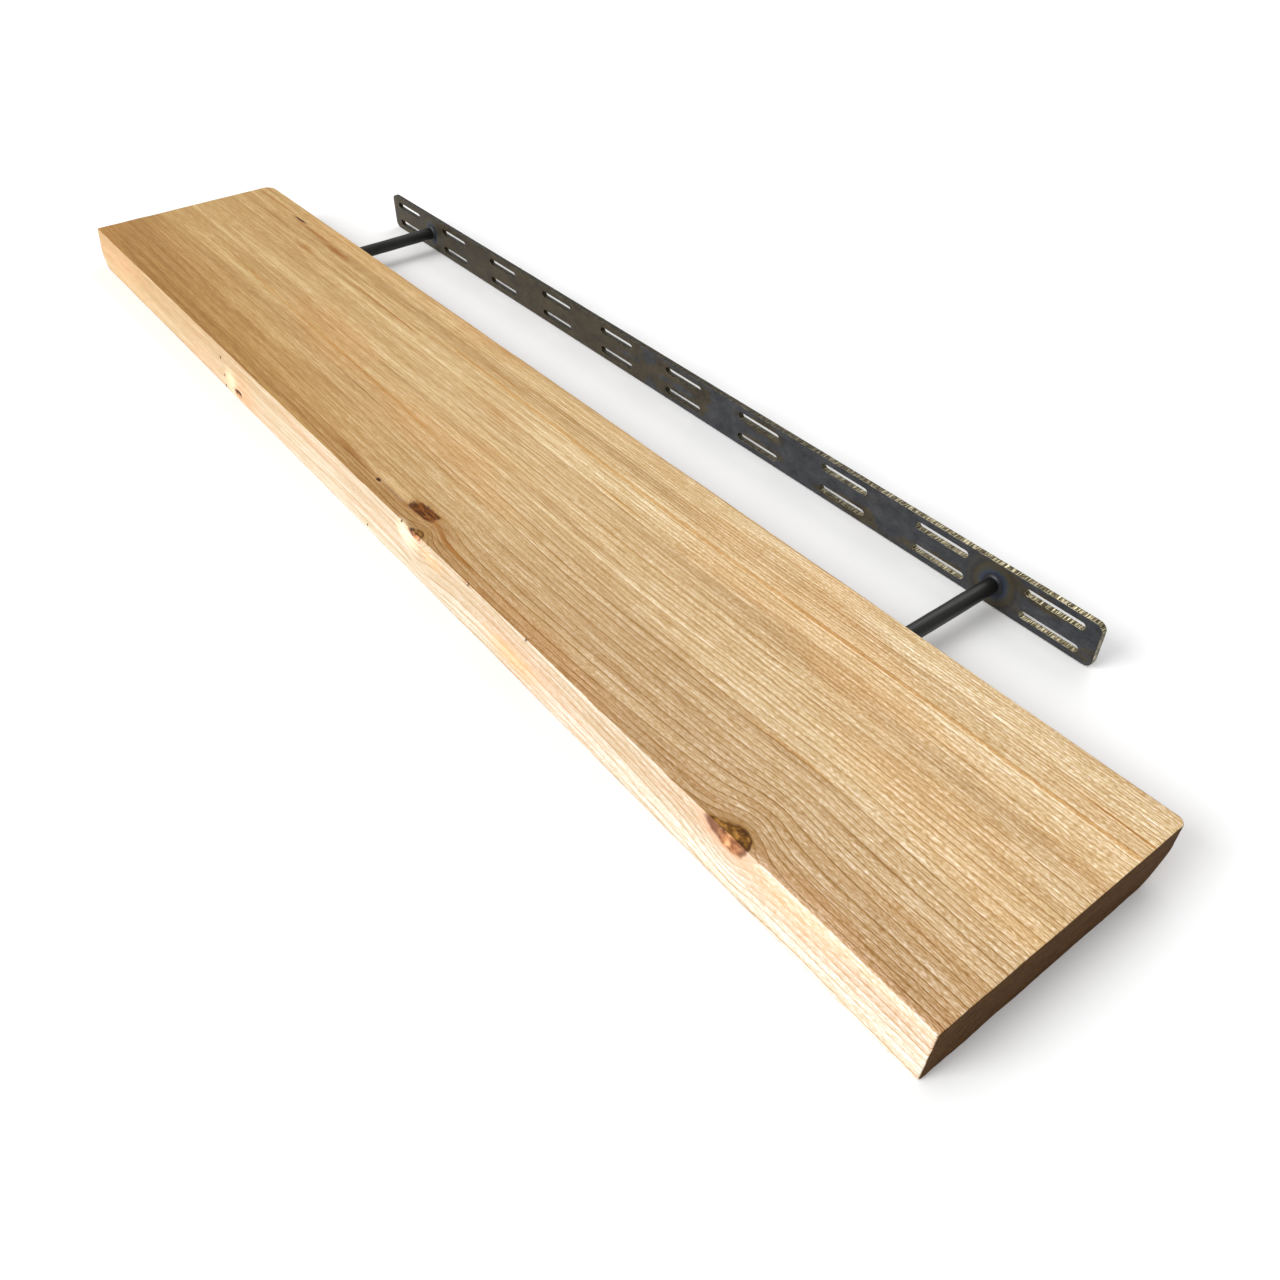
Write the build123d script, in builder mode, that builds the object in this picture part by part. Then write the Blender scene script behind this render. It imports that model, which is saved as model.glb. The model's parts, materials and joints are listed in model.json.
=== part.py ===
"""Blind wall shelf: a solid board that slides onto two rods welded to a slotted wall plate.

Frame, in millimetres: the origin is the centre of the wall plate's back face, so the wall is the
plane y = 0. +X runs along the shelf, to the right as seen from the front, +Y points into the wall
and +Z is up. The board is drawn partly slid off its rods.
"""
import os

from build123d import *

os.makedirs("parts", exist_ok=True)

# Wall plate: a laser-cut flat bar with two rows of slots
slot_pitch = 101.6
slot_columns = 10
slot_rows = 2
row_pitch = 20.3
slot_length = 50.0
slot_width = 6.0
plate_length = 990.0
plate_height = 38.0
plate_thickness = 5.0
plate_corner_radius = 6.5

# Rods: each stands midway between the outermost two slot columns of its side
rod_diameter = 12.7
rod_length = 152.0
rod_tip_chamfer = 1.5
rod_spacing = (slot_columns - 2) * slot_pitch

# Fillet weld around the root of each rod
weld_leg = 2.0
weld_bulge = 0.25

# Board
board_length = 1230.0
board_depth = 208.0
board_thickness = 40.0
board_shift = 7.0
front_lean = 5.0
arris = 0.8
pulled_out = 104.0

# Natural wane along the board's lower back edge: (distance from the left end, size of the wane).
# Its curve is flatter than a quarter circle: fullness 0.5 would be a straight chamfer and 0.71 a circle.
wane_stations = [(0.0, 2.0), (650.0, 3.0), (1000.0, 6.0), (1130.0, 14.0), (board_length, 32.0)]
wane_fullness = 0.62

# Blind bores that take the rods, opened out at the mouth to clear the welds
bore_diameter = 13.5
bore_depth = 160.0
bore_mouth_diameter = 19.5
bore_mouth_angle = 90.0

rod_radius = rod_diameter / 2
plate_front_y = -plate_thickness
board_left_x = board_shift - board_length / 2
board_back_y = plate_front_y - pulled_out
board_front_y = board_back_y - board_depth
board_top_z = board_thickness / 2
board_bottom_z = -board_thickness / 2
front_bottom_y = board_front_y - front_lean
arris_lean = arris * front_lean / board_thickness
rod_sides = {"left": -rod_spacing / 2, "right": rod_spacing / 2}


def make_rod(x):
    """One plain round rod standing out from the plate's front face at x."""
    with BuildPart() as rod:
        with BuildSketch(Plane.XZ.offset(plate_thickness)):
            with Locations((x, 0)):
                Circle(rod_radius)
        extrude(amount=rod_length)
        chamfer(rod.faces().sort_by(Axis.Y)[0].edges(), rod_tip_chamfer)
    return rod


def make_weld(x):
    """One ring of fillet weld in the corner between the rod at x and the plate."""
    root = Plane(origin=(x, plate_front_y, 0), x_dir=(1, 0, 0), z_dir=(0, 0, 1))
    middle = rod_radius + weld_leg / 2 + weld_bulge
    with BuildPart() as weld:
        with BuildSketch(root):
            with BuildLine():
                Polyline((rod_radius, -weld_leg), (rod_radius, 0), (rod_radius + weld_leg, 0))
                ThreePointArc(
                    (rod_radius + weld_leg, 0),
                    (middle, -weld_leg / 2 - weld_bulge),
                    (rod_radius, -weld_leg),
                )
            make_face()
        revolve(axis=Axis((x, plate_front_y, 0), (0, 1, 0)))
    return weld


with BuildPart() as wall_plate:
    with BuildSketch(Plane.XZ):
        RectangleRounded(plate_length, plate_height, plate_corner_radius)
        with GridLocations(slot_pitch, row_pitch, slot_columns, slot_rows):
            SlotOverall(slot_length, slot_width, mode=Mode.SUBTRACT)
    extrude(amount=plate_thickness)
wall_plate.part.label = "wall_plate"
export_step(wall_plate.part, "parts/wall_plate.step")

for side, x in rod_sides.items():
    rod = make_rod(x)
    rod.part.label = f"rod_{side}"
    export_step(rod.part, f"parts/rod_{side}.step")
    weld = make_weld(x)
    weld.part.label = f"weld_{side}"
    export_step(weld.part, f"parts/weld_{side}.step")

with BuildPart() as shelf_board:
    for distance, wane in wane_stations:
        with BuildSketch(Plane.YZ.offset(board_left_x + distance)):
            with BuildLine():
                Polyline(
                    (board_back_y - wane, board_bottom_z),
                    (front_bottom_y + arris, board_bottom_z),
                    (front_bottom_y + arris_lean, board_bottom_z + arris),
                    (board_front_y - arris_lean, board_top_z - arris),
                    (board_front_y + arris, board_top_z),
                    (board_back_y - arris, board_top_z),
                    (board_back_y, board_top_z - arris),
                    (board_back_y, board_bottom_z + wane),
                )
                ThreePointArc(
                    (board_back_y - wane, board_bottom_z),
                    (board_back_y - wane * (1 - wane_fullness), board_bottom_z + wane * (1 - wane_fullness)),
                    (board_back_y, board_bottom_z + wane),
                )
            make_face()
    loft(ruled=True)
    bore_mouths = [Plane(origin=(x, board_back_y, 0), z_dir=(0, 1, 0)) for x in rod_sides.values()]
    with Locations(*bore_mouths):
        CounterSinkHole(
            radius=bore_diameter / 2,
            counter_sink_radius=bore_mouth_diameter / 2,
            depth=bore_depth,
            counter_sink_angle=bore_mouth_angle,
        )
shelf_board.part.label = "shelf_board"
export_step(shelf_board.part, "parts/shelf_board.step")
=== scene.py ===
import json
import math
from collections import namedtuple

import bpy
import numpy as np
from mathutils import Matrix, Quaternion, Vector


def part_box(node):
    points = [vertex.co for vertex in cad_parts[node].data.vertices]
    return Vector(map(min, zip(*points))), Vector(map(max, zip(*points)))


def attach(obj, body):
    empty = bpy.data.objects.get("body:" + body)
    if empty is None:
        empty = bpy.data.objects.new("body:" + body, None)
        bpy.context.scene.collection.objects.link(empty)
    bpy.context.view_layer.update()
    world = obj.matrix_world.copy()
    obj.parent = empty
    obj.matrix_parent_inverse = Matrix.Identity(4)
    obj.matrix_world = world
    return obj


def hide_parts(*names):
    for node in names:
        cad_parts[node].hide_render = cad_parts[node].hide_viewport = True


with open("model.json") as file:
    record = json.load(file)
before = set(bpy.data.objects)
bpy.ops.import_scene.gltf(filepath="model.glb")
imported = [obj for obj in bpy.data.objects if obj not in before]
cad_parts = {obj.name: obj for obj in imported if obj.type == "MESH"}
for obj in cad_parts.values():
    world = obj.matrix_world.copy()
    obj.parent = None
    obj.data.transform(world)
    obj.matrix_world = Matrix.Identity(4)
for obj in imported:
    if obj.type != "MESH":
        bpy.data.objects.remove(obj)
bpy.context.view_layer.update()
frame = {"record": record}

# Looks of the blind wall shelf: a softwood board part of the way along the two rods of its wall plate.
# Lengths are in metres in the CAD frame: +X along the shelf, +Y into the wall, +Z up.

board_low, board_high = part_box("shelf_board")
plate_low, plate_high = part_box("wall_plate")
outline_low = np.array([plate_low.x, plate_low.z])
outline_high = np.array([plate_high.x, plate_high.z])
mounts = {mount["name"]: mount for mount in frame["record"]["mounts"]}

# Board
front_lean = 0.005            # the front face stands this much further out at the bottom
front_y = board_low.y + front_lean
arris = 0.0006
wane_stations = (-0.608, 0.042, 0.392, 0.522, 0.622)
wane_sizes = (0.002, 0.003, 0.006, 0.014, 0.032)
wane_power = 1.45             # 2 would be a circle and 1 a straight chamfer
front_corner = 0.027          # length of the rounded lower left corner of the front edge
front_corner_squeeze = 0.75   # its height as a share of its length
back_left_radius = 0.012
back_right_radius = 0.0055
proud_limit = 0.0002          # the surface stands no further than this outside the CAD board
back_setback = 0.0001         # the back edge stays this far inside it, clear of the wall plate
edge_step = 0.0004            # size of the mesh's cells along the board's edges
mark_step = 0.0014            # and beside its knots and bark pocket
bore_diameter = 0.0135
bore_depth = 0.160
bore_mouth_diameter = 0.0195

# Growth rings: circles round a pith that lies in front of and above the board, and wanders along it.
# Each station is (x, pith y, pith z, growth), and growth makes the inner rings that much larger there.
pith_stations = (
    (-0.62, -0.388, 0.112, 0.0),
    (-0.3, -0.397, 0.11, 0.0),
    (0.0, -0.405, 0.11, 0.0),
    (0.26, -0.411, 0.108, -0.001),
    (0.45, -0.409, 0.103, 0.002),
    (0.62, -0.412, 0.098, 0.004),
)
ring_width = 0.0041
narrow_radius = 0.300         # the rings get narrow near this radius, under the bark
narrow_reach = 0.035

# Wall plate
slots = mounts["screw_slots_inner"]["dims"]
slot_radius = slots["hole_r_mm"] / 1000
slot_half_run = slots["slot_length_mm"] / 2000 - slot_radius
row_pitch = slots["spacing_y_mm"] / 1000
slot_pitch = slots["spacing_x_mm"] / 1000
slot_columns = 10
plate_corner = 0.0065
plate_bevel = 0.0003
face_rows = (0, 0.04, 0.15, 0.35, 0.65, 1)   # rows of points from a slot's rim out to its cell's border

# Knots: centre, half sizes, and how far they push the rings aside, out to what reach
Knot = namedtuple("Knot", "x y z half_x half_y half_z push reach")
knots = (
    Knot(0.473, -0.3175, 0.019, 0.016, 0.0105, 0.01, 0.013, 0.045),
    Knot(0.119, -0.318, 0.0195, 0.009, 0.0065, 0.0045, 0.012, 0.022),
    Knot(-0.219, -0.3212, -0.0135, 0.0075, 0.004, 0.0032, 0.006, 0.02),
)
knot_depth = 0.0003
knot_collar = 0.0002          # the wood round a knot stands this much proud
pocket_place = (0.0975, -0.2975)
pocket_halves = (0.016, 0.0055)
pocket_skew = 0.06
pocket_depth = 0.0012
pocket_floor = 0.014          # the bark doesn't show below this height

# Rings darker than the rest: a place on the top, where the ring starts and stops along X, and how dark
dark_rings = (
    ((0.1, -0.1515), -0.14, 0.66, 0.55),
    ((-0.22, -0.158), -0.31, -0.14, 0.6),
    ((-0.04, -0.14), -0.09, 0.02, 0.5),
    ((0.175, -0.1735), 0.13, 0.22, 0.6),
    ((-0.275, -0.2295), -0.46, 0.03, 0.4),
    ((0.45, -0.2465), 0.39, 0.5, 0.5),
    ((0.605, -0.139), 0.55, 0.68, 0.75),
    ((0.04, -0.304), -0.05, 0.2, 0.85),
)

# Patches of another colour in the wood: centre, half sizes, colour, amount and softness
wood_patches = (
    ((-0.488, -0.1268, 0.02), (0.017, 0.0017, 0.004), (74, 32, 10), 1.0, 0.5),
    ((-0.44, -0.13, 0.02), (0.05, 0.0024, 0.004), (146, 94, 38), 0.8, 0.9),
    ((-0.38, -0.134, 0.02), (0.032, 0.0034, 0.004), (140, 88, 34), 0.8, 0.8),
    ((-0.412, -0.1555, 0.02), (0.02, 0.0044, 0.004), (152, 102, 46), 0.65, 0.9),
    ((-0.56, -0.124, 0.02), (0.06, 0.0016, 0.004), (150, 98, 44), 0.7, 0.9),
    ((0.062, -0.3042, 0.02), (0.026, 0.001, 0.004), (84, 48, 18), 0.85, 0.6),
    ((0.0, -0.305, 0.02), (0.045, 0.001, 0.004), (116, 74, 32), 0.7, 0.8),
    ((0.01, -0.176, 0.02), (0.045, 0.012, 0.004), (164, 116, 62), 0.35, 0.9),
    ((0.128, -0.299, 0.02), (0.024, 0.007, 0.004), (136, 92, 48), 0.55, 0.9),
    ((0.05, -0.301, 0.02), (0.06, 0.006, 0.004), (204, 176, 130), 0.45, 0.9),
    ((0.105, -0.319, 0.013), (0.017, 0.006, 0.011), (244, 226, 192), 0.8, 0.7),
    ((0.14, -0.319, 0.01), (0.018, 0.006, 0.006), (232, 182, 134), 0.6, 0.9),
    ((-0.236, -0.321, -0.008), (0.014, 0.006, 0.012), (238, 216, 178), 0.75, 0.8),
    ((-0.205, -0.32, -0.006), (0.026, 0.006, 0.018), (204, 156, 112), 0.55, 0.9),
    ((0.25, -0.32, -0.006), (0.036, 0.006, 0.009), (222, 168, 112), 0.65, 0.9),
    ((0.52, -0.318, 0.008), (0.045, 0.006, 0.01), (236, 190, 152), 0.45, 0.9),
    ((0.545, -0.317, 0.016), (0.11, 0.006, 0.005), (232, 204, 172), 0.5, 0.8),
    ((-0.56, -0.319, 0.0), (0.08, 0.006, 0.02), (206, 162, 118), 0.5, 0.9),
)

# Small dark spots: centre and half sizes, and how deep they are pressed in
pit_depth = 0.0009
dark_spots = (
    ((0.118, -0.315, 0.0205), (0.008, 0.0024, 0.0016)),
    ((0.0373, -0.3047, 0.02), (0.0036, 0.0014, 0.003)),
    ((0.0965, -0.3172, 0.0195), (0.0016, 0.0013, 0.0013)),
    ((0.111, -0.3172, 0.0195), (0.002, 0.0012, 0.0014)),
    ((0.192, -0.3172, 0.0195), (0.0018, 0.0013, 0.0014)),
    ((0.266, -0.3172, 0.0195), (0.0014, 0.0012, 0.0012)),
    ((-0.2577, -0.3188, 0.0076), (0.0026, 0.003, 0.0012)),
    ((-0.252, -0.3207, -0.008), (0.002, 0.003, 0.001)),
    ((-0.2515, -0.3219, -0.0184), (0.002, 0.003, 0.0012)),
    ((-0.22, -0.3213, -0.0128), (0.007, 0.003, 0.0018)),
    ((0.038, -0.32, -0.016), (0.0016, 0.003, 0.0012)),
    ((0.4655, -0.3172, 0.019), (0.0042, 0.0012, 0.0012)),
    ((0.473, -0.3175, 0.0185), (0.0024, 0.0012, 0.0012)),
)


# ---------------- shapes


def waves(points, lengths, seed, count=7):
    """A smooth field from about -1 to 1, made of sine waves near the given lengths along X, Y and Z."""
    draw = np.random.default_rng(seed)
    total = np.zeros(len(points))
    for _ in range(count):
        turns = draw.normal(size=3) / np.asarray(lengths)
        total += np.sin(2 * math.pi * (points @ turns) + draw.uniform(0, 2 * math.pi))
    return total / math.sqrt(count)


def smooth(value, low, high):
    """0 below low, 1 above high, and an even curve between them."""
    t = np.clip((value - low) / (high - low), 0, 1)
    return t * t * (3 - 2 * t)


def graded(low, high, coarse, growth, spots):
    """Places from low to high, close together at each spot (place, reach, step) and wider away from it."""
    places = [low]
    while places[-1] < high:
        steps = [step + growth * max(abs(places[-1] - at) - reach, 0) for at, reach, step in spots]
        places.append(places[-1] + min([coarse, *steps]))
    places = np.array(places)
    return low + (places - low) * (high - low) / (places[-1] - low)


def stand_off(points, low, high, distance):
    """Moves points to the given distance from the box or rectangle that reaches from low to high."""
    inner = np.clip(points, low, high)
    away = points - inner
    length = np.linalg.norm(away, axis=1, keepdims=True)
    return inner + away / np.maximum(length, 1e-12) * distance


def middle_of(node):
    """The x and z of the middle of a CAD node."""
    low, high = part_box(node)
    return (low.x + high.x) / 2, (low.z + high.z) / 2


def lattice_shell(xs, ys, zs):
    """The points and outward quads of a closed box divided along the three lists."""
    counts = (len(xs), len(ys), len(zs))
    strides = (counts[1] * counts[2], counts[2], 1)
    quads = []
    for axis in range(3):
        across, along = [other for other in range(3) if other != axis]
        i, j = np.meshgrid(np.arange(counts[across] - 1), np.arange(counts[along] - 1), indexing="ij")
        for side in (0, counts[axis] - 1):
            corners = [
                side * strides[axis] + (i + step_i) * strides[across] + (j + step_j) * strides[along]
                for step_i, step_j in ((0, 0), (1, 0), (1, 1), (0, 1))
            ]
            if (side > 0) == (axis == 1):
                corners.reverse()
            quads.append(np.stack(corners, -1).reshape(-1, 4))
    used, quads = np.unique(np.concatenate(quads), return_inverse=True)
    place = np.unravel_index(used, counts)
    points = np.stack([xs[place[0]], ys[place[1]], zs[place[2]]], 1)
    return points, quads.reshape(-1, 4)


def in_scene(name, data):
    """A new object for a mesh, light or camera."""
    made = bpy.data.objects.new(name, data)
    bpy.context.scene.collection.objects.link(made)
    return made


def mesh_object(name, points, faces):
    mesh = bpy.data.meshes.new(name)
    mesh.from_pydata(np.asarray(points).tolist(), [], [list(map(int, face)) for face in faces])
    mesh.update()
    return in_scene(name, mesh)


def new_piece(name, points, faces, body, node):
    """A mesh object that rides on a body and stands for a CAD node."""
    piece = mesh_object(name, points, faces)
    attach(piece, body)
    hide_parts(node)
    return piece


def finish_mesh(piece, sharp_degrees):
    """Smooth shading with sharp edges where the surface turns by more than the angle."""
    mesh = piece.data
    mesh.polygons.foreach_set("use_smooth", np.ones(len(mesh.polygons), bool))
    mesh.set_sharp_from_angle(angle=math.radians(sharp_degrees))
    mesh.update()


def per_vertex(piece, name):
    """The places ("co") or the normals ("normal") of the vertices."""
    values = np.zeros(len(piece.data.vertices) * 3)
    piece.data.vertices.foreach_get(name, values)
    return values.reshape(-1, 3)


def store(piece, name, values):
    """Keeps one number per vertex for the material."""
    attribute = piece.data.attributes.new(name, "FLOAT", "POINT")
    attribute.data.foreach_set("value", np.asarray(values, np.float32))


def turned(stations, segments, centre, ripple=None):
    """Points and faces of a turning about a line along Y. Stations are (y, radius) from end to end."""
    angles = np.arange(segments) * 2 * math.pi / segments
    rows = []
    for y, radius in stations:
        spread = radius + (ripple(y, angles) if ripple else 0 * angles)
        rows.append(np.stack([
            centre[0] + spread * np.cos(angles),
            np.full(segments, y),
            centre[1] + spread * np.sin(angles),
        ], 1))
    points = np.concatenate(rows)
    faces = []
    for row in range(len(stations) - 1):
        for s in range(segments):
            nxt = (s + 1) % segments
            faces.append((row * segments + s, row * segments + nxt,
                          (row + 1) * segments + nxt, (row + 1) * segments + s))
    return points, faces


# ---------------- board


def round_quadrant(points, axes, centre, signs, size, power=2.0):
    """Turns the square corner beyond the centre, on the two axes, into a curve of the given size."""
    first = (points[:, axes[0]] - centre[0]) * signs[0]
    second = (points[:, axes[1]] - centre[1]) * signs[1]
    inside = (first > 0) & (second > 0) & (size > 0)
    widest = np.maximum(first, second)
    length = (np.maximum(first, 1e-12) ** power + np.maximum(second, 1e-12) ** power) ** (1 / power)
    factor = np.where(inside, widest / length, 1)
    points[:, axes[0]] = np.where(inside, centre[0] + signs[0] * first * factor, points[:, axes[0]])
    points[:, axes[1]] = np.where(inside, centre[1] + signs[1] * second * factor, points[:, axes[1]])


def ring_count(points):
    """How many growth rings lie between the pith and each point."""
    x, y, z = points.T
    stations = np.array(pith_stations).T
    spread = np.linspace(-0.08, 0.08, 9)
    pith_y, pith_z, growth = (
        sum(np.interp(x + shift, stations[0], values) for shift in spread) / len(spread)
        for values in stations[1:]
    )
    radius = np.hypot(y - pith_y, z - pith_z)
    radius = radius - growth * (1 - smooth(radius, 0.19, 0.27))
    radius += 0.0006 * waves(points, (0.30, 0.05, 0.05), 3) + 0.00009 * waves(points, (0.05, 0.02, 0.02), 4)
    for knot in knots:
        apart = np.hypot(y - knot.y, z - knot.z)
        width = knot.half_x * 1.15 + 0.55 * apart
        across = 1 / (1 + ((x - knot.x) / width) ** 2) ** 1.6
        radius -= knot.push * np.exp(-apart / knot.reach) * across
    count = radius / ring_width + 6 * np.exp((radius - narrow_radius) / narrow_reach)
    return count + 0.24 * np.sin(radius * 290) + 0.30 * np.sin(radius * 147 + 1.3)


def knot_field(points):
    """Distance from the nearest knot's centre, where 1 is its edge. A knot tails away to the left."""
    nearest = np.full(len(points), 4.0)
    for knot in knots:
        x, y, z = (points - (knot.x, knot.y, knot.z)).T
        tail = np.where(x < 0, 1 + 0.35 * smooth(-x, 0, knot.half_x), 0.78)
        tail *= np.where(x < 0, 1 - 0.40 * smooth(y, 0.0005, 0.0050), 1)
        far = np.sqrt((x / (knot.half_x * tail)) ** 2 + (y / knot.half_y) ** 2 + (z / knot.half_z) ** 2)
        nearest = np.minimum(nearest, far)
    return nearest


def knot_side(points):
    """How far each point lies to the right of the nearest knot's centre, where 1 is its edge."""
    places = np.array([knot.x for knot in knots])
    halves = np.array([knot.half_x for knot in knots])
    nearest = np.abs(points[:, :1] - places).argmin(1)
    return np.clip((points[:, 0] - places[nearest]) / halves[nearest], -2, 2)


def pocket_field(points):
    """Distance from the middle of the bark pocket on the top, where 1 is its edge."""
    x, y, z = points.T
    from_middle = x - pocket_place[0]
    along = np.abs(from_middle) / pocket_halves[0]
    across = np.abs(y - pocket_place[1] - pocket_skew * from_middle) / pocket_halves[1]
    field = (along ** 5 + across ** 5) ** 0.2
    return np.where(z > pocket_floor, field, 4.0)


def wane_size(points):
    """How far the wane reaches from the lower back corner at each point's place along the board."""
    return np.interp(points[:, 0], wane_stations, wane_sizes)


def depth_of_marks(points):
    """How deep the bark pocket, pits, knots and nicks are pressed in, in metres."""
    rough = waves(points, (0.006, 0.003, 0.003), 11)
    fine = waves(points, (0.0022, 0.0015, 0.0015), 12)
    in_pocket = 1 - smooth(pocket_field(points) + 0.08 * rough, 0.75, 1.05)
    depth = pocket_depth * in_pocket * (1 + 0.45 * fine)
    for centre, halves in dark_spots:
        far = np.sqrt((((points - centre) / halves) ** 2).sum(1))
        depth += pit_depth * (1 - smooth(far + 0.15 * fine, 0.4, 1.1))
    far = knot_field(points)
    depth += knot_depth * (1 - smooth(far, 0.7, 1.05)) * (1 + 0.6 * fine)
    return depth - knot_collar * np.exp(-(((far - 1.25) / 0.22) ** 2))


def board_grid(low, high):
    """The points and quads of the plain board, finely divided at its edges and marks."""
    knot_spots = [(knot.x, knot.half_x * 1.1, mark_step) for knot in knots]
    xs = graded(low[0], high[0], 0.0075, 0.14, [
        (low[0], 0.0012, edge_step), (high[0], 0.0022, edge_step),
        (pocket_place[0], 0.018, mark_step), *knot_spots,
    ])
    ys = graded(low[1], high[1], 0.0038, 0.12, [
        (low[1], 0.0014, edge_step), (-0.305, 0.010, 0.0012), (high[1], 0.0014, edge_step),
    ])
    zs = graded(low[2], high[2], 0.0020, 0.3, [(low[2], 0.0014, edge_step), (high[2], 0.0014, edge_step)])
    return lattice_shell(xs, ys, zs)


def shape_board(points, low, high):
    """The plain board's points, moved to its real shape, and the size of the wane at each."""
    # Edges: eased all round, and worn more at the right end
    x, y, z = points.T
    worn = 1 + 0.30 * waves(points, (0.05, 0.05, 0.05), 21)
    right_end = smooth(x, high[0] - 0.004, high[0])
    worn += right_end * smooth(z, high[2] - 0.006, high[2] - 0.001) * (0.4 + 0.4 * np.sin((y + 0.30) * 38))
    worn += right_end * (1 - smooth(y, low[1] + 0.001, low[1] + 0.006)) * 1.8
    radius = arris * np.clip(worn, 0.5, 3.4)[:, None]
    points = stand_off(points, low + radius, high - radius, radius)

    # Wane along the lower back edge
    size = wane_size(points)
    size *= 1 - 0.04 * (1 + np.sin(points[:, 0] * 31)) - 0.03 * (1 + np.sin(points[:, 0] * 87 + 1))
    round_quadrant(points, (1, 2), (high[1] - size, low[2] + size), (1, -1), size, wane_power)

    # Rounded corners: the lower left one at the front, and the two at the back seen from above
    corner = front_corner * (1 - smooth(points[:, 1], low[1] + 0.010, low[1] + 0.09))
    points[:, 2] = low[2] + (points[:, 2] - low[2]) / front_corner_squeeze
    round_quadrant(points, (0, 2), (low[0] + corner, low[2] + corner), (-1, -1), corner)
    points[:, 2] = low[2] + (points[:, 2] - low[2]) * front_corner_squeeze
    for end_x, sign, radius in ((low[0], -1, back_left_radius), (high[0], 1, back_right_radius)):
        back = np.full(len(points), radius)
        round_quadrant(points, (0, 1), (end_x - sign * back, high[1] - back), (sign, 1), back)

    # The front face leans out towards the bottom
    near_front = 1 - smooth(points[:, 1], low[1], low[1] + 0.06)
    points[:, 1] -= front_lean * near_front * (high[2] - points[:, 2]) / (high[2] - low[2])
    return points, size


def make_board():
    low = np.array([board_low.x, front_y, board_low.z])
    high = np.array(board_high)
    points, quads = board_grid(low, high)
    points, size = shape_board(points, low, high)
    piece = new_piece("board_wood", points, quads, "board", "shelf_board")

    # Unevenness, saw marks and pressed-in marks, along the surface's normals
    normals = per_vertex(piece, "normal")
    flatness = 0.00012 * waves(points, (0.18, 0.07, 0.07), 22)
    into_wane = smooth(size * 0.8 - np.maximum(high[1] - points[:, 1], points[:, 2] - low[2]), 0, 0.006)
    peeled = 0.0002 * waves(points, (0.090, 0.030, 0.030), 23) * into_wane
    saw = 0.00005 * np.sin((points[:, 2] + 0.25 * points[:, 1]) * 2600) * (np.abs(normals[:, 0]) > 0.7)
    points += normals * (flatness + peeled + saw - depth_of_marks(points))[:, None]
    furthest = np.array(board_high) + (proud_limit, -back_setback, proud_limit)
    points = np.clip(points, np.array(board_low) - proud_limit, furthest)
    piece.data.vertices.foreach_set("co", points.ravel())

    cut_bores(piece)
    finish_mesh(piece, 38)
    points = per_vertex(piece, "co")
    store(piece, "ring", ring_count(points))
    store(piece, "knot", knot_field(points))
    store(piece, "knot_side", knot_side(points))
    store(piece, "pocket", pocket_field(points))
    from_corner = np.maximum(high[1] - points[:, 1], points[:, 2] - low[2])
    store(piece, "wane", smooth(wane_size(points) * 1.02 - from_corner, 0, 0.004))
    return piece


def cut_bores(piece):
    """Cuts a blind bore with a countersunk mouth for each rod into the board's back edge."""
    back = board_high.y
    mouth = bore_mouth_diameter / 2
    bore = bore_diameter / 2
    segments = 40
    for node in ("rod_left", "rod_right"):
        points, faces = turned([
            (back + 0.004, mouth + 0.004), (back, mouth),
            (back - mouth + bore, bore), (back - bore_depth, bore),
        ], segments, middle_of(node))
        last = len(points) - segments
        faces.append(tuple(reversed(range(segments))))
        faces.append(tuple(range(last, last + segments)))
        tool = mesh_object("bore_tool", points, faces)
        cut = piece.modifiers.new("bore", "BOOLEAN")
        cut.object = tool
        cut.operation = "DIFFERENCE"
        cut.solver = "EXACT"
        bpy.context.view_layer.update()
        evaluated = piece.evaluated_get(bpy.context.evaluated_depsgraph_get())
        done = bpy.data.meshes.new_from_object(evaluated)
        piece.modifiers.remove(cut)
        old = piece.data
        piece.data = done
        bpy.data.meshes.remove(old)
        bpy.data.objects.remove(tool)


# ---------------- wall plate


def offset_slot(points, centre, outset):
    """Moves points round a slot so that they stand the given distance outside its nominal outline."""
    half = np.array([slot_half_run, 0.0])
    return stand_off(points, centre - half, centre + half, (slot_radius + outset)[:, None])


def offset_plate(points, inset):
    """Moves points of the plate's outline inwards by the given distance."""
    low, high = outline_low + plate_corner, outline_high - plate_corner
    return stand_off(points, low, high, (plate_corner - inset)[:, None])


def slot_rays(left, right, below, above):
    """Start points on a slot's middle line and directions, all round, one of them to each cell corner."""
    rays = []
    run = np.linspace(slot_half_run, -slot_half_run, 70)
    for side_x, far_x, side_z, far_z in (
        (1, right, 1, above), (-1, left, 1, above), (-1, left, -1, below), (1, right, -1, below),
    ):
        diagonal = math.atan2(far_z, far_x - slot_half_run)
        angles = np.concatenate([np.linspace(0, diagonal, 6), np.linspace(diagonal, math.pi / 2, 8)[1:]])
        arc = [(side_x * slot_half_run, side_x * math.cos(a), side_z * math.sin(a)) for a in angles]
        rays.append(arc if side_x * side_z > 0 else arc[::-1])
    top = [(x, 0.0, 1.0) for x in run[1:-1]]
    bottom = [(x, 0.0, -1.0) for x in run[::-1][1:-1]]
    return np.array(rays[0] + top + rays[1] + rays[2][1:] + bottom + rays[3][:-1])


def steps_to_side(start, aim, before, after):
    """How far each ray goes until it is before or after the slot's middle by the given distances."""
    reach = np.where(aim > 0, after - start, before + start)
    with np.errstate(divide="ignore", invalid="ignore"):
        return np.where(np.abs(aim) > 1e-9, reach / np.abs(aim), 9)


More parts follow.
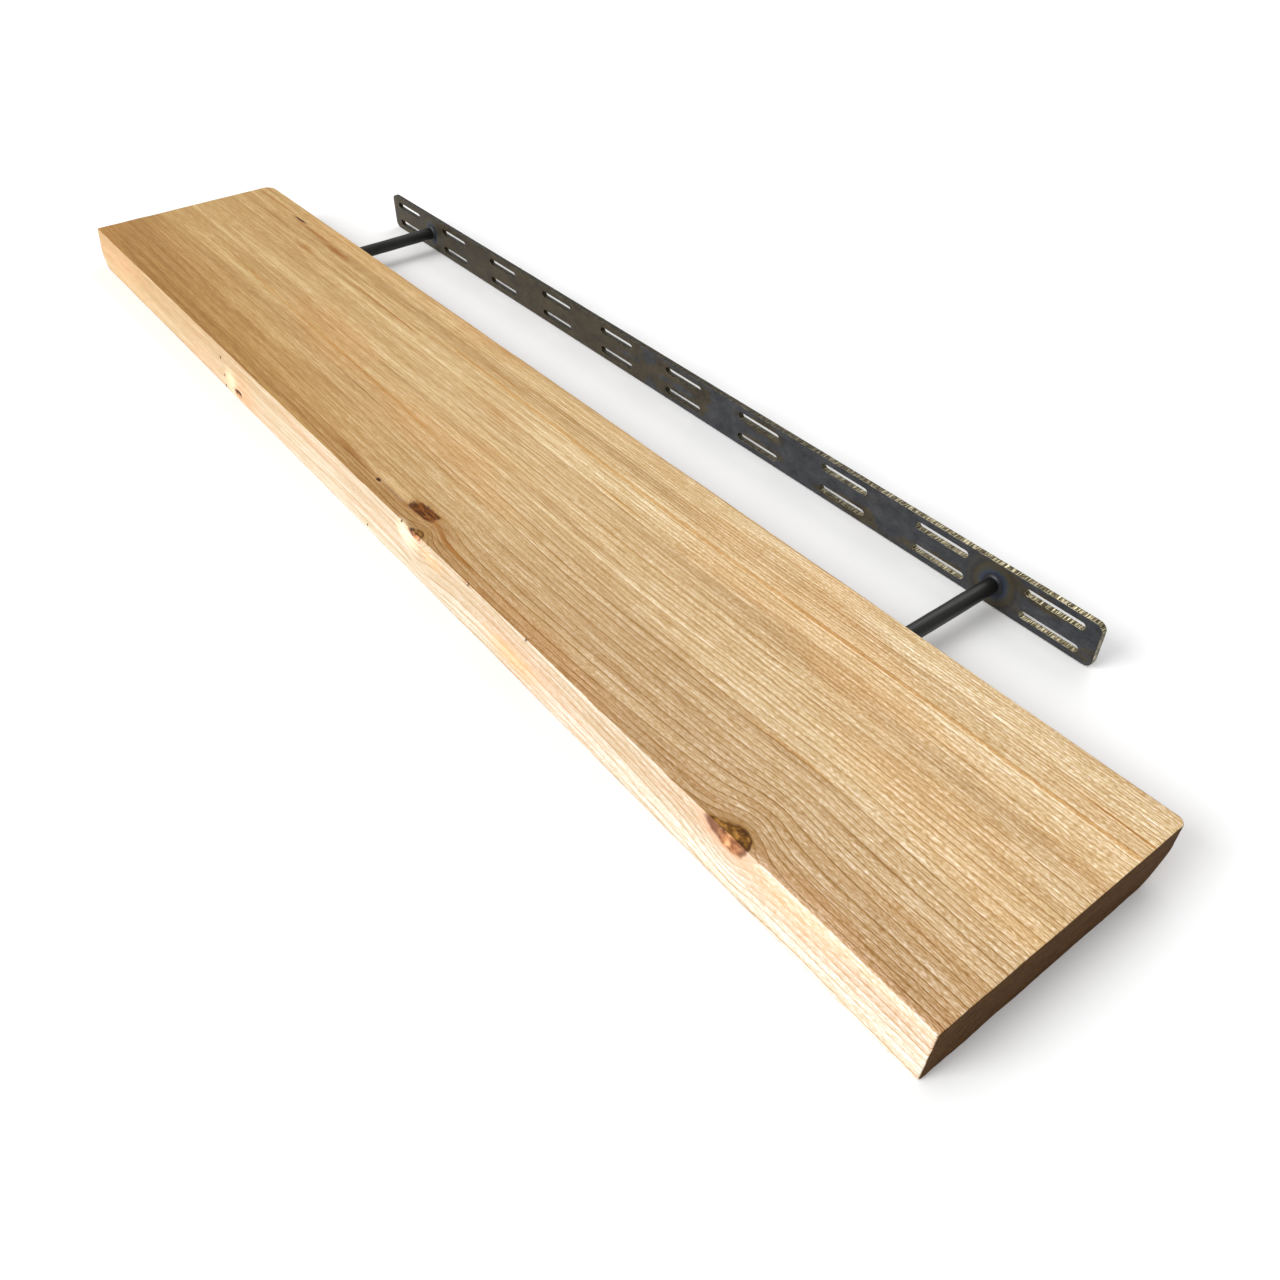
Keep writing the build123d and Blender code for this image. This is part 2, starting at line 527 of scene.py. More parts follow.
def laser_cut(along, depth, seed):
    """The drag lines that a laser leaves in a cut face: how far each point stands proud, in metres."""
    draw = np.random.default_rng(seed)
    lag = 0.0011 * (depth / 0.005) ** 1.7
    total = np.zeros(len(along))
    for length, height in ((0.0019, 0.5), (0.0027, 0.6), (0.0043, 0.35), (0.0013, 0.3)):
        total += height * np.sin(2 * math.pi * (along + lag) / length + draw.uniform(0, 2 * math.pi))
    return 0.00005 * total * (0.5 + depth / 0.005)


class PlateShell:
    """Rows of points, the faces between them, and three numbers at each point for the material."""

    def __init__(self):
        self.points = []
        self.values = []
        self.faces = []
        self.total = 0

    def add(self, row, y, is_cut, is_rim, warm):
        """Adds a row of points (x, z) at y, and returns the number of its first point."""
        self.points.append(np.stack([row[:, 0], np.full(len(row), y), row[:, 1]], 1))
        self.values.append(np.tile((is_cut, is_rim, warm), (len(row), 1)))
        self.total += len(row)
        return self.total - len(row)

    def join(self, rows, count, wanted=None):
        """Faces from each row to the next, all round, or only between the wanted points."""
        for first, second in zip(rows, rows[1:]):
            for j in range(count):
                nxt = (j + 1) % count
                if wanted is None or (wanted[j] and wanted[nxt]):
                    self.faces.append((first + j, first + nxt, second + nxt, second + j))

    def cut_face(self, outline, run, seed, warm):
        """Rows from the front to the back of a cut face, bevelled at both. outline(inset) is one row."""
        bevel = plate_bevel
        thickness = plate_high.y - plate_low.y
        rows = []
        for inset, depth in (
            (bevel, 0), (bevel * 0.3, bevel * 0.3), (0, bevel),
            (0, thickness * 0.28), (0, thickness * 0.5), (0, thickness * 0.72),
            (0, thickness - bevel), (bevel * 0.3, thickness - bevel * 0.3), (bevel, thickness),
        ):
            ripple = laser_cut(run, depth, seed) if 0 < depth < thickness else 0 * run
            is_cut = float(inset < bevel)
            is_rim = float(0 < inset < bevel)
            rows.append(self.add(outline(inset - ripple), plate_low.y + depth, is_cut, is_rim, warm))
        return rows

    def welded(self):
        """The points, faces and values, with coinciding points joined and unused ones left out."""
        points = np.concatenate(self.points)
        values = np.concatenate(self.values)
        keys = np.round(points / 2e-6).astype(np.int64)
        _, first, which = np.unique(keys, axis=0, return_index=True, return_inverse=True)
        which = which.ravel()
        quads = which[np.array(self.faces)].tolist()
        faces = [[a for n, a in enumerate(quad) if a != quad[n - 1]] for quad in quads]
        faces = [face for face in faces if len(set(face)) > 2]
        used, index = np.unique(np.concatenate(faces), return_inverse=True)
        ends = np.cumsum([len(face) for face in faces])
        strongest = np.zeros((len(first), values.shape[1]))
        np.maximum.at(strongest, which, values)
        return points[first][used], np.split(index.ravel(), ends[:-1]), strongest[used]


def add_cell(shell, column, row):
    """One slot with the plate around it, as far as half-way to the next slots or the plate's edge."""
    middle = (outline_low + outline_high) / 2
    centre = middle + ((column - (slot_columns - 1) / 2) * slot_pitch, row * row_pitch / 2)
    left = centre[0] - outline_low[0] if column == 0 else slot_pitch / 2
    right = outline_high[0] - centre[0] if column == slot_columns - 1 else slot_pitch / 2
    inner = row_pitch / 2
    outer = (outline_high[1] - outline_low[1]) / 2 - inner
    above, below = (outer, inner) if row > 0 else (inner, outer)
    rays = slot_rays(left, right, below, above)
    count = len(rays)
    start = np.stack([centre[0] + rays[:, 0], np.full(count, centre[1])], 1)
    aim = rays[:, 1:]
    to_x = steps_to_side(rays[:, 0], aim[:, 0], left, right)
    to_z = steps_to_side(0.0, aim[:, 1], below, above)
    border = start + aim * np.minimum(to_x, to_z)[:, None]
    nominal = start + aim * slot_radius
    on_edge = ((border < outline_low + 1e-6) | (border > outline_high - 1e-6)).any(1)

    # Front and back faces, from the slot's rim out to the cell's border
    bevel = np.full(count, plate_bevel)
    far = np.where(on_edge[:, None], offset_plate(border, bevel), border)
    near = offset_slot(nominal, centre, bevel)
    for y, order in ((plate_low.y, 1), (plate_high.y, -1)):
        rows = [shell.add(near + (far - near) * part, y, 0.0, 0.0, 1 - part) for part in face_rows]
        shell.join(rows[::order], count)

    # The slot's wall, and the plate's own edge
    along = np.cumsum(np.linalg.norm(np.diff(nominal, axis=0, append=nominal[:1]), axis=1))
    rows = shell.cut_face(lambda out: offset_slot(nominal, centre, out), along, 50 + column * 2 + row, 1.0)
    shell.join(rows[::-1], count)
    rows = shell.cut_face(lambda inset: offset_plate(border, inset), border.sum(1), 7, 0.0)
    shell.join(rows, count, on_edge)


def make_plate():
    shell = PlateShell()
    for column in range(slot_columns):
        for row in (-1, 1):
            add_cell(shell, column, row)
    points, faces, values = shell.welded()
    piece = new_piece("plate_steel", points, faces, "bracket", "wall_plate")
    finish_mesh(piece, 32)
    for column, name in enumerate(("cut", "rim", "slot_heat")):
        store(piece, name, values[:, column])
    return piece


# ---------------- rods and welds


def make_rod(node, seed):
    low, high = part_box(node)
    radius = (high.z - low.z) / 2
    chamfer = 0.0015
    tiny = 0.0002
    stations = [
        (high.y, tiny), (high.y, radius * 0.5),
        *[(y, radius) for y in np.linspace(high.y, low.y + chamfer, 60)],
        (low.y + chamfer * 0.5, radius - chamfer * 0.42), (low.y, radius - chamfer),
        (low.y, radius * 0.5), (low.y, tiny),
    ]
    phase = np.random.default_rng(seed).uniform(0, 2 * math.pi, 3)

    def ripple(y, angles):
        inside = 1.0 if low.y + chamfer < y < high.y - 0.001 else 0.0
        dents = np.sin(3 * angles + 60 * y + phase[0]) + np.sin(5 * angles - 140 * y + phase[1])
        return inside * 0.00003 * (dents + np.sin(230 * y + phase[2]))

    points, faces = turned(stations, 56, middle_of(node), ripple)
    piece = new_piece(node + "_bar", points, faces, "bracket", node)
    finish_mesh(piece, 32)
    return piece


def make_weld(node, seed):
    low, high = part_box(node)
    outer = (high.x - low.x) / 2
    inner = outer - (high.y - low.y)
    steps = 10
    stations = [(high.y, inner), (high.y, outer * 0.97)]
    for n in range(steps + 1):
        turn = n / steps * math.pi / 2
        bulge = 0.10 * math.sin(2 * turn)
        part = n / steps
        radius = inner + (outer - inner) * min(1, 1 - part + bulge)
        y = high.y + (low.y - high.y) * min(1, part + bulge)
        stations.append((y, radius))
    stations.append((low.y, inner))
    offset = np.random.default_rng(seed).uniform(0, 2 * math.pi, 3)
    ripples = 26

    def ripple(y, angles):
        part = (high.y - y) / (high.y - low.y)
        strength = math.sin(math.pi * min(max(part, 0.02), 0.98)) ** 0.5
        turn = angles * ripples + 2.2 * part + 0.6 * np.sin(2 * angles + offset[0])
        scallop = np.abs(np.sin(turn / 2)) - 0.64
        uneven = np.sin(3 * angles + offset[1]) + 0.6 * np.sin(7 * angles + offset[2])
        return strength * (0.00016 * scallop + 0.00007 * uneven)

    points, faces = turned(stations, 156, middle_of(node), ripple)
    piece = new_piece(node + "_bead", points, faces, "bracket", node)
    finish_mesh(piece, 60)
    return piece


# ---------------- materials


def rgb(red, green, blue):
    """A colour from its usual 0 to 255 values, as the linear colour that shaders take."""
    def linear(value):
        value /= 255
        return value / 12.92 if value <= 0.04045 else ((value + 0.055) / 1.055) ** 2.4
    return (linear(red), linear(green), linear(blue), 1.0)


class Graph:
    """The node tree of one material. Most methods add nodes and return the output to use."""

    def __init__(self, name):
        self.material = bpy.data.materials.new(name)
        self.material.use_nodes = True
        self.tree = self.material.node_tree
        self.tree.nodes.clear()
        self.shader = self.node("BsdfPrincipled")
        self.node("OutputMaterial", [self.shader.outputs[0]])
        coordinates = self.node("TexCoord").outputs
        self.place = coordinates["Object"]
        self.normal = coordinates["Normal"]

    def feed(self, socket, value):
        """Links a node's output to a socket, or sets the socket to a plain value."""
        if isinstance(value, bpy.types.NodeSocket):
            self.tree.links.new(value, socket)
        else:
            socket.default_value = value

    def set(self, **sockets):
        """Sets the shader's sockets, named with _ for each space."""
        for name, value in sockets.items():
            self.feed(self.shader.inputs[name.replace("_", " ")], value)

    def node(self, kind, values=(), **settings):
        """A new node with its settings made and its inputs fed, from the first one on."""
        node = self.tree.nodes.new("ShaderNode" + kind)
        for name, value in settings.items():
            setattr(node, name, value)
        for socket, value in zip(node.inputs, values):
            self.feed(socket, value)
        return node

    def math(self, operation, *values):
        return self.node("Math", values, operation=operation).outputs[0]

    def vector(self, operation, *values):
        node = self.node("VectorMath", values, operation=operation)
        return node.outputs["Value" if operation == "LENGTH" else "Vector"]

    def add(self, first, *others):
        for other in others:
            first = self.math("ADD", first, other)
        return first

    def times(self, first, *others):
        for other in others:
            first = self.math("MULTIPLY", first, other)
        return first

    def off(self, value, target):
        """How far the value is from the target, either way."""
        return self.math("ABSOLUTE", self.math("SUBTRACT", value, target))

    def less(self, factor, share):
        """1 where the factor is 0, and less by the share where it is 1."""
        return self.math("MULTIPLY_ADD", factor, -share, 1.0)

    def part(self, vector, axis):
        return self.node("SeparateXYZ", [vector]).outputs[axis]

    def stored(self, name):
        """A number kept at each vertex."""
        return self.node("Attribute", attribute_name=name).outputs["Fac"]

    def noise(self, scales, detail=2.0, roughness=0.5, shift=None):
        """Noise whose cells are 1/scale of a metre along each axis."""
        place = self.vector("ADD", self.place, shift) if shift else self.place
        node = self.node("TexNoise", [self.vector("MULTIPLY", place, scales)])
        node.inputs["Scale"].default_value = 1.0
        node.inputs["Detail"].default_value = detail
        node.inputs["Roughness"].default_value = roughness
        return node.outputs[0]

    def centred(self, value, amount):
        """A value from 0 to 1, as one that swings about 0 by half the amount each way."""
        return self.times(self.math("SUBTRACT", value, 0.5), amount)

    def chance(self, value):
        """A fixed random number from 0 to 1 for each value."""
        node = self.node("TexWhiteNoise", noise_dimensions="1D")
        self.feed(node.inputs["W"], value)
        return node.outputs["Value"]

    def step(self, value, low, high, to_low=0.0, to_high=1.0):
        """A smooth step from to_low at low to to_high at high."""
        numbers = (value, low, high, to_low, to_high)
        return self.node("MapRange", numbers, interpolation_type="SMOOTHSTEP").outputs[0]

    def ramp(self, value, *stops):
        """A colour, or a shade of grey, that changes evenly between the stops (position, colour)."""
        node = self.node("ValToRGB", [value])
        elements = node.color_ramp.elements
        while len(elements) < len(stops):
            elements.new(1.0)
        for element, (position, colour) in zip(elements, stops):
            element.position = position
            element.color = colour if isinstance(colour, tuple) else (colour, colour, colour, 1.0)
        return node.outputs[0]

    def blend(self, factor, first, second):
        """The first colour where the factor is 0 and the second where it is 1."""
        node = self.node("Mix", data_type="RGBA")
        self.feed(node.inputs["Factor"], factor)
        self.feed(node.inputs[6], first)
        self.feed(node.inputs[7], second)
        return node.outputs[2]

    def tinted(self, colour, tint):
        return self.vector("MULTIPLY", colour, tint)

    def shaded(self, colour, *amounts):
        """The colour with its red, green and blue times a number each."""
        return self.tinted(colour, self.node("CombineXYZ", amounts).outputs[0])

    def toned(self, colour, amount, powers=(0.68, 1.0, 1.65)):
        """The colour made lighter or darker: where wood is darker it is also redder."""
        parts = [self.math("EXPONENT", self.times(amount, power)) for power in powers]
        return self.shaded(colour, *parts)

    def far(self, centre, halves):
        """Distance from a centre, where 1 is the surface of an ellipsoid with the given half sizes."""
        away = self.vector("SUBTRACT", self.place, centre)
        return self.vector("LENGTH", self.vector("DIVIDE", away, halves))

    def bump(self, height, distance, strength):
        node = self.node("Bump")
        node.inputs["Strength"].default_value = strength
        node.inputs["Distance"].default_value = distance
        self.feed(node.inputs["Height"], height)
        return node.outputs[0]


# Wood colours, and tints that fade from one end of the board to the other: partly wood tone and partly
# painted sheen, paler and greyer to the right. Near tints darken the top near its front edge, partly wood
# tone and partly painted shade.
top_dark = rgb(166, 128, 80)
top_middle = rgb(184, 148, 98)
top_pale = rgb(202, 170, 120)
top_warm = rgb(186, 140, 86)
left_tone_and_sheen = (0.88, 0.90, 0.86, 1.0)
right_tone_and_sheen = (1.13, 1.32, 1.74, 1.0)
near_left_tone_and_shade = (0.80, 0.69, 0.50, 1.0)
near_right_tone_and_shade = (0.68, 0.58, 0.50, 1.0)
front_dark = rgb(206, 170, 128)
front_pale = rgb(228, 203, 168)
front_peach = rgb(224, 180, 142)
front_left_tint = (0.74, 0.72, 0.61, 1.0)
front_right_tint = (0.85, 1.00, 1.22, 1.0)
# End grain colours: the end grain's own darker tone, made darker still as painted shade
end_pale = rgb(82, 53, 18)
end_dark = rgb(57, 33, 8)
no_tint = (1.0, 1.0, 1.0, 1.0)

# The ring at each point: its number, the place within it, how dark its late wood and its stain are, and
# how clear the rings are there
Rings = namedtuple("Rings", "number within late stained clear")


def growth_rings(g, x, front):
    """Pale early wood that darkens to a thin line of late wood, clearest at the right, and dark rings."""
    phase = g.add(g.stored("ring"), g.centred(g.noise((14, 150, 150), 3, 0.6), 0.16))
    number = g.math("FLOOR", phase)
    within = g.math("SUBTRACT", phase, number)
    late = g.ramp(within, (0.0, 0.0), (0.55, 0.03), (0.82, 0.16), (0.89, 0.90), (0.96, 1.0), (1.0, 0.0))
    strength = g.math("MULTIPLY_ADD", g.chance(number), 0.45, 0.55)
    along = g.step(g.noise((2.0, 26, 26), 2, 0.5), 0.30, 0.62, 0.60, 1.0)
    clear = g.step(x, -0.36, 0.46, 0.20, 1.0)
    stained = 0.0
    for place, start, stop, amount in dark_rings:
        middle = float(ring_count(np.array([(*place, board_high.z)]))[0])
        near = g.step(g.off(phase, middle), 0.08, 0.50, amount, 0.0)
        from_start = g.step(x, start, start + 0.05)
        to_stop = g.step(x, stop - 0.05, stop, 1.0, 0.0)
        stained = g.math("MAXIMUM", stained, g.times(near, from_start, to_stop, g.less(front, 0.85)))
    return Rings(number, within, g.times(late, strength, along, clear), stained, clear)


def top_colour(g, x, band, rings):
    """The planed top: bands of warmer and cooler tone, paler to the right (wood tone and painted sheen) and
    darker near the front (wood tone and painted shade).
    """
    patchy = g.noise((3.2, 14, 14), 3, 0.55, (5.0, 2.0, 1.0))
    tone = g.math("MULTIPLY_ADD", g.chance(g.add(rings.number, 40.0)), 0.16, band)
    early = g.ramp(tone, (0.40, top_dark), (0.58, top_middle), (0.78, top_pale))
    early = g.blend(g.step(patchy, 0.50, 0.66, 0.0, 0.50), early, top_warm)
    # Painted sheen as well as wood tone: paler and greyer towards the right
    early = g.tinted(early, g.blend(g.step(x, -0.60, 0.45), left_tone_and_sheen, right_tone_and_sheen))
    # Painted shade as well as wood tone: darker on the top near its front edge
    from_front = g.add(g.part(g.place, 1), g.centred(patchy, 0.10))
    near_tone_and_shade = g.blend(g.step(x, -0.25, 0.35), near_left_tone_and_shade, near_right_tone_and_shade)
    early = g.tinted(early, g.blend(g.step(from_front, -0.322, -0.205), near_tone_and_shade, no_tint))
    colour = g.toned(early, g.times(rings.late, -1.10))
    colour = g.toned(colour, g.times(rings.stained, -0.75), (0.45, 1.0, 1.9))
    streak = g.step(g.noise((4, 240, 240), 3, 0.6), 0.56, 0.78, 0.0, 0.40)
    return g.blend(streak, colour, rgb(156, 106, 50))


def front_colour(g, x, band, rings):
    """The paler front edge, with peach bands."""
    peach = g.step(g.noise((7, 70, 70), 3, 0.55), 0.46, 0.64)
    early = g.ramp(band, (0.38, front_dark), (0.60, front_pale))
    early = g.blend(g.times(peach, 0.55), early, front_peach)
    early = g.tinted(early, g.blend(g.step(x, -0.60, 0.25), front_left_tint, front_right_tint))
    return g.toned(early, g.times(rings.late, -0.78), (0.45, 1.0, 1.45))


def with_patches(g, colour):
    """Soft patches of another colour: stains, and pale and orange wood beside the knots."""
    uneven = g.centred(g.noise((60, 200, 200), 3, 0.6), 0.9)
    for centre, halves, tint, amount, softness in wood_patches:
        far = g.add(g.far(centre, halves), uneven)
        colour = g.blend(g.step(far, 1.0 - softness, 1.0 + softness * 0.5, amount, 0.0), colour, rgb(*tint))
    return colour


def with_knots(g, colour, front):
    """Knots: amber and brown with a dark rim, strongest on the right, and purple-brown on the front."""
    swirl = g.add(g.stored("knot"), g.centred(g.noise((150, 150, 150)), 0.3))
    side = g.stored("knot_side")
    mottle = g.noise((160, 160, 160), 3, 0.6)
    mottle = g.math("MULTIPLY_ADD", g.math("SINE", g.times(swirl, 20.0)), 0.022, mottle)
    mottle = g.math("MULTIPLY_ADD", side, 0.06, mottle)
    knot_top = g.ramp(mottle, (0.40, rgb(70, 42, 14)), (0.50, rgb(112, 74, 26)), (0.64, rgb(166, 120, 58)))
    knot_front = g.ramp(
        mottle, (0.38, rgb(126, 78, 50)), (0.50, rgb(178, 122, 82)), (0.64, rgb(222, 168, 118)),
    )
    purple = g.step(g.off(side, -0.05), 0.35, 0.70, 0.05, 0.85)
    knot_front = g.blend(purple, knot_front, rgb(116, 78, 58))
    rim = g.step(g.off(swirl, 0.94), 0.02, 0.14, 1.0, 0.0)
    rim = g.times(rim, g.step(side, -0.5, 0.7, 0.30, 0.90), g.less(front, 0.6))
    halo = g.blend(front, rgb(140, 104, 56), rgb(214, 166, 136))
    colour = g.blend(g.step(swirl, 1.05, 1.75, 0.60, 0.0), colour, halo)
    colour = g.blend(g.step(swirl, 0.84, 1.10, 1.0, 0.0), colour, g.blend(front, knot_top, knot_front))
    return g.blend(rim, colour, rgb(62, 34, 12))


def with_pocket(g, colour, ragged):
    """The bark pocket beside the middle knot: brown, with darker ragged streaks along it."""
    pocket = g.add(g.stored("pocket"), g.times(ragged, 0.9))
    bark = g.ramp(
        g.noise((90, 620, 620), 4, 0.7),
        (0.40, rgb(66, 28, 4)), (0.48, rgb(98, 50, 12)),
        (0.56, rgb(124, 74, 28)), (0.68, rgb(154, 104, 50)),
    )
    lip = g.step(g.off(pocket, 0.88), 0.02, 0.22, 0.6, 0.0)
    lip = g.times(lip, g.step(g.noise((120, 120, 120), 2, 0.5), 0.40, 0.56))
    colour = g.blend(g.step(pocket, 1.0, 1.6, 0.5, 0.0), colour, rgb(150, 106, 54))
    colour = g.blend(g.step(pocket, 0.72, 1.18, 0.95, 0.0), colour, bark)
    return g.blend(lip, colour, rgb(58, 26, 8))


def with_spots(g, colour, ragged):
    """Dark spots: pits, pitch and cracks. They reach a little past the pits that are pressed in."""
    past = pit_depth * 0.4
    near = 9.0
    for centre, (half_x, half_y, half_z) in dark_spots:
        near = g.math("MINIMUM", near, g.far(centre, (half_x, half_y + past, half_z + past)))
    near = g.add(near, g.times(ragged, 0.5))
    return g.blend(g.step(near, 0.55, 1.15, 0.94, 0.0), colour, rgb(40, 20, 12))


def wood_material():
    g = Graph("brushed_softwood")
    x = g.part(g.place, 0)
    front = g.step(g.times(g.part(g.normal, 1), -1.0), 0.45, 0.85)
    end = g.step(g.math("ABSOLUTE", g.part(g.normal, 0)), 0.60, 0.88)
    rings = growth_rings(g, x, front)
    band = g.noise((1.0, 40, 40), 5, 0.66)
    colour = g.blend(front, top_colour(g, x, band, rings), front_colour(g, x, band, rings))
    across = g.ramp(rings.within, (0.0, 0.58), (0.35, 0.53), (0.80, 0.45))
    colour = g.toned(colour, g.times(g.math("SUBTRACT", across, 0.5), rings.clear))
    colour = with_patches(g, colour)

    # The sawn end grain: dark in its own tone, and darker still as painted shade
    saw = g.step(g.noise((300, 60, 900), 3, 0.6), 0.4, 0.7)
    end_colour = g.blend(g.math("MAXIMUM", g.times(rings.late, 0.7), saw), end_pale, end_dark)
    colour = g.blend(end, colour, end_colour)

    # Fibres, flecks and tiny dark ticks along the grain
    fibre = g.noise((60, 1500, 1500), 3, 0.7)
    grain = g.noise((11, 340, 340), 3, 0.7)
    fleck = g.noise((300, 1500, 1500), 2, 0.7)
    sparkle = g.times(g.step(fleck, 0.3, 0.7, -0.42, 0.42), g.step(x, -0.15, 0.60, 0.14, 1.0))
    light = g.add(g.step(fibre, 0.3, 0.7, -0.26, 0.26), g.step(grain, 0.3, 0.7, -0.17, 0.17), sparkle)
    colour = g.toned(colour, g.times(light, g.less(front, 0.35)))
    tick = g.step(g.noise((110, 1300, 1300), 1, 0.4), 0.70, 0.78)
    colour = g.blend(g.times(tick, 0.35), colour, rgb(112, 72, 36))

    ragged = g.math("SUBTRACT", g.noise((240, 240, 240), 4, 0.65), 0.5)
    colour = with_knots(g, colour, front)
    colour = with_pocket(g, colour, ragged)
    colour = with_spots(g, colour, ragged)

    # Peeled wane along the lower back edge
    wane = g.times(g.stored("wane"), g.step(end, 0.0, 0.4, 0.85, 0.0))
    wane_colour = g.ramp(g.noise((14, 60, 60), 4, 0.6), (0.35, rgb(116, 80, 48)), (0.65, rgb(166, 126, 82)))
    colour = g.blend(wane, colour, wane_colour)

    height = g.add(g.times(rings.late, 0.5), g.times(fibre, 0.55), g.times(grain, 0.5))
    height = g.add(height, g.times(fleck, rings.clear, 0.6))
    rough = g.add(g.step(fibre, 0.3, 0.7, 0.40, 0.52), g.times(rings.late, -0.06), g.times(end, 0.3))
    g.set(Base_Color=colour, Roughness=rough, Normal=g.bump(height, 0.00030, 0.6))
    g.set(Specular_IOR_Level=0.08)
    return g.material


def plate_material():
    g = Graph("mill_scale")
    along = g.part(g.place, 0)

    # Mill scale: brown patches, mostly to the left and round the slots, on blue-grey
    cloud = g.noise((20, 38, 38), 5, 0.62)
    blotch = g.noise((70, 110, 110), 5, 0.7)
    brown = g.ramp(blotch, (0.34, rgb(46, 40, 30)), (0.66, rgb(74, 66, 50)))
    blue = g.ramp(blotch, (0.34, rgb(43, 45, 49)), (0.66, rgb(67, 68, 71)))
    brownness = g.add(cloud, g.step(along, -0.16, 0.12, 0.18, -0.20), g.times(g.stored("slot_heat"), 0.22))
    colour = g.blend(g.step(brownness, 0.44, 0.56), blue, brown)
    speck = g.step(g.noise((420, 420, 420), 2, 0.6), 0.60, 0.72)
    rust_zone = g.step(g.noise((7, 20, 20), 2, 0.5, (3.1, 0.0, 1.7)), 0.52, 0.66)
    colour = g.blend(g.times(speck, rust_zone, 0.35), colour, rgb(104, 82, 58))
    fine = g.noise((700, 700, 700), 3, 0.6)
    shade = g.step(fine, 0.3, 0.7, 0.90, 1.10)
    colour = g.shaded(colour, shade, shade, shade)

    # Heat tint round the welds: a blue ring, then straw, fading into the scale in faint arcs
    warp = g.centred(g.noise((90, 90, 90), 3, 0.6), 0.006)
    for node in ("rod_left", "rod_right"):
        x, z = middle_of(node)
        away = g.vector("MULTIPLY", g.vector("SUBTRACT", g.place, (x, 0.0, z)), (1.0, 0.0, 1.0))
        away = g.add(g.vector("LENGTH", away), warp)
        tint = g.ramp(
            g.times(away, 25.0),
            (0.20, rgb(38, 42, 48)), (0.26, rgb(48, 57, 74)), (0.31, rgb(62, 64, 62)),
            (0.40, rgb(70, 62, 40)), (0.48, rgb(48, 46, 44)), (0.56, rgb(68, 64, 52)),
            (0.70, rgb(52, 52, 52)),
        )
        colour = g.blend(g.step(away, 0.012, 0.032, 0.85, 0.0), colour, tint)

    # Laser-cut faces are bare: olive with drag lines that are painted glinting gold, brighter to the right
    # as a painted highlight, and a painted highlight line along each edge
    # The golden drag lines, brighter to the right, are a painted highlight
    drag = g.noise((1600, 80, 1600), 3, 0.6)
    glint_to_right = g.step(along, 0.05, 0.50)
    bare = g.ramp(drag, (0.36, rgb(30, 27, 20)), (0.56, rgb(52, 47, 34)), (0.70, rgb(80, 72, 52)))
    glinting_cut = g.ramp(drag, (0.40, rgb(40, 34, 22)), (0.53, rgb(92, 82, 56)), (0.64, rgb(216, 206, 172)))
    cut = g.stored("cut")
    colour = g.blend(cut, colour, g.blend(glint_to_right, bare, glinting_cut))
    # A painted highlight: a pale line along each bevelled edge, stronger to the right
    rim = g.times(g.stored("rim"), g.step(g.noise((420, 60, 420), 3, 0.6), 0.40, 0.60))
    rim = g.times(rim, g.math("MULTIPLY_ADD", glint_to_right, 0.6, 0.4))
    colour = g.blend(rim, colour, rgb(186, 178, 150))
    rough = g.add(g.step(blotch, 0.3, 0.7, 0.42, 0.56), g.times(cut, -0.14))
    height = g.math("MULTIPLY_ADD", g.times(drag, cut), 2.2, fine)
    g.set(Base_Color=colour, Roughness=rough, Metallic=g.math("MULTIPLY_ADD", cut, 0.50, 0.40))
    g.set(Normal=g.bump(height, 0.00018, 0.6), Specular_IOR_Level=0.2)
    return g.material


def rod_material():
    g = Graph("black_bar")
    drawn = g.noise((700, 22, 700), 3, 0.6)
    cloud = g.noise((60, 30, 60), 3, 0.55)
    colour = g.ramp(cloud, (0.30, rgb(18, 19, 17)), (0.70, rgb(33, 33, 30)))
    # Streaks of wear along the bar, lighter olive, which also stand in as painted highlight streaks
    worn = g.times(g.step(drawn, 0.62, 0.78), g.step(cloud, 0.45, 0.65), 0.6)
    colour = g.blend(worn, colour, rgb(104, 92, 60))
    g.set(Base_Color=colour, Roughness=g.step(drawn, 0.3, 0.7, 0.34, 0.48), Metallic=0.4)
    g.set(Normal=g.bump(drawn, 0.00008, 0.4))
    return g.material


def weld_material():
    g = Graph("weld_bead")
    cloud = g.noise((140, 140, 140), 4, 0.6)
    colour = g.ramp(cloud, (0.30, rgb(26, 28, 34)), (0.52, rgb(34, 37, 44)), (0.75, rgb(48, 47, 44)))
    g.set(Base_Color=colour, Roughness=g.step(cloud, 0.3, 0.7, 0.34, 0.52), Metallic=0.5)
    g.set(Normal=g.bump(g.noise((1400, 1400, 1400), 3, 0.6), 0.0001, 0.5))
    return g.material


# ---------------- the pieces

board = make_board()
board.data.materials.append(wood_material())
plate = make_plate()
plate.data.materials.append(plate_material())
bar = rod_material()
bead = weld_material()
for number, side in enumerate(("left", "right")):
    make_rod("rod_" + side, 70 + number).data.materials.append(bar)
    make_weld("weld_" + side, 80 + number).data.materials.append(bead)

# ---------------- floor, light and camera

floor_half = 12.0
world_strength = 0.65
